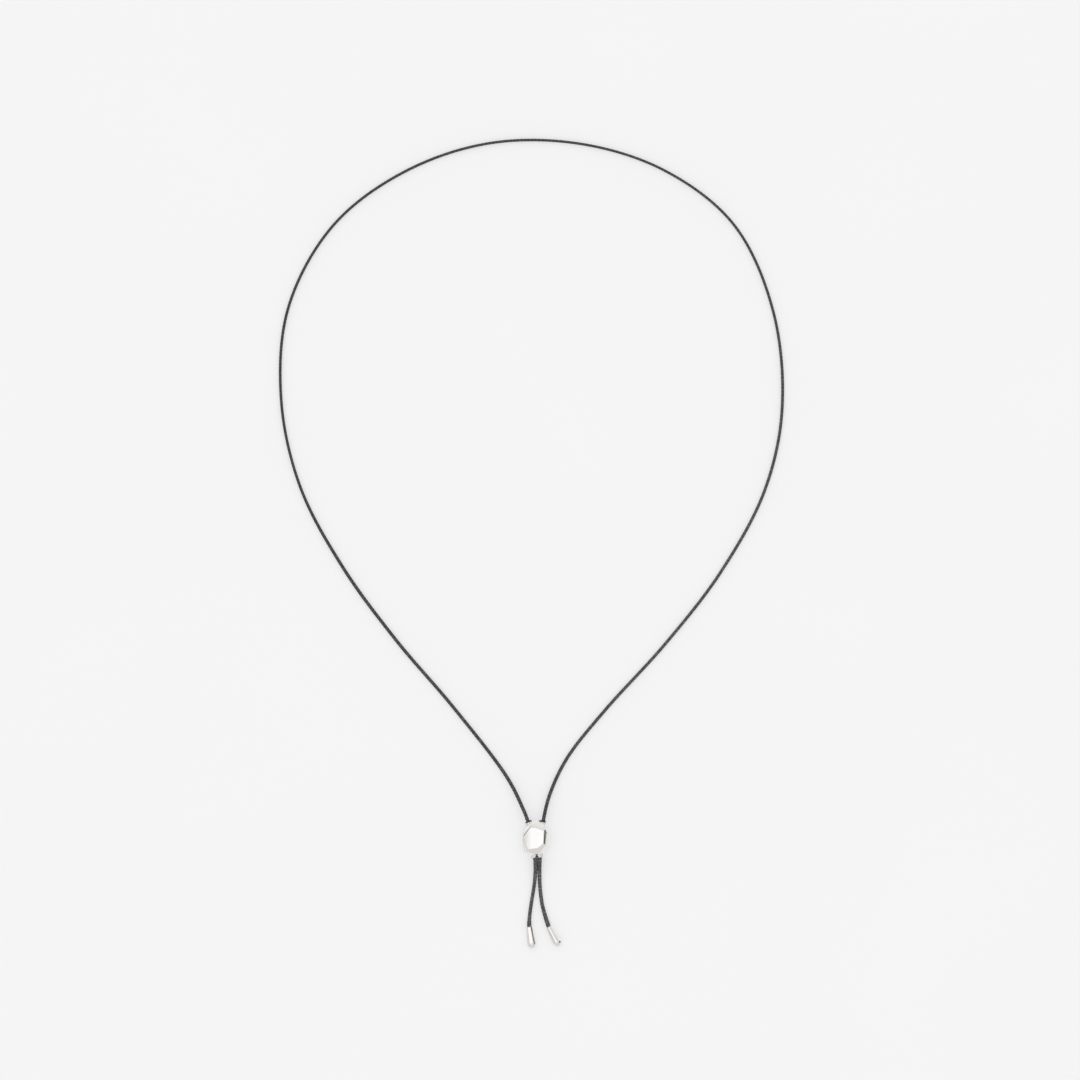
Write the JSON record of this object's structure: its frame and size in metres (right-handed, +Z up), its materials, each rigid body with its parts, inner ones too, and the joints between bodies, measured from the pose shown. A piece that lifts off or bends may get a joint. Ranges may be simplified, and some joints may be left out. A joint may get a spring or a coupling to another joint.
{
  "type": "cord necklace",
  "caption": "Adjustable cord necklace lying flat: a fine black braided cord, a faceted silver slider bead that holds its loop, and flared silver end caps.",
  "frame": {"origin": "on the surface that the necklace lies on, at the middle of the slider bead's flat underside", "axes": "+Z up from the surface, +Y from the bead to the far side of the loop, which is the back of the neck when worn, +X to the right seen from above with +Y away"},
  "size_m": [0.2018, 0.324, 0.0067],
  "materials": {
    "cord_black": "round braided cord, black, lightly waxed",
    "polished_silver": "polished silver"
  },
  "bodies": {
    "root": {"cord": "cord_black", "slider_bead": "polished_silver", "end_cap_left": "polished_silver", "end_cap_right": "polished_silver"}
  },
  "joints": []
}
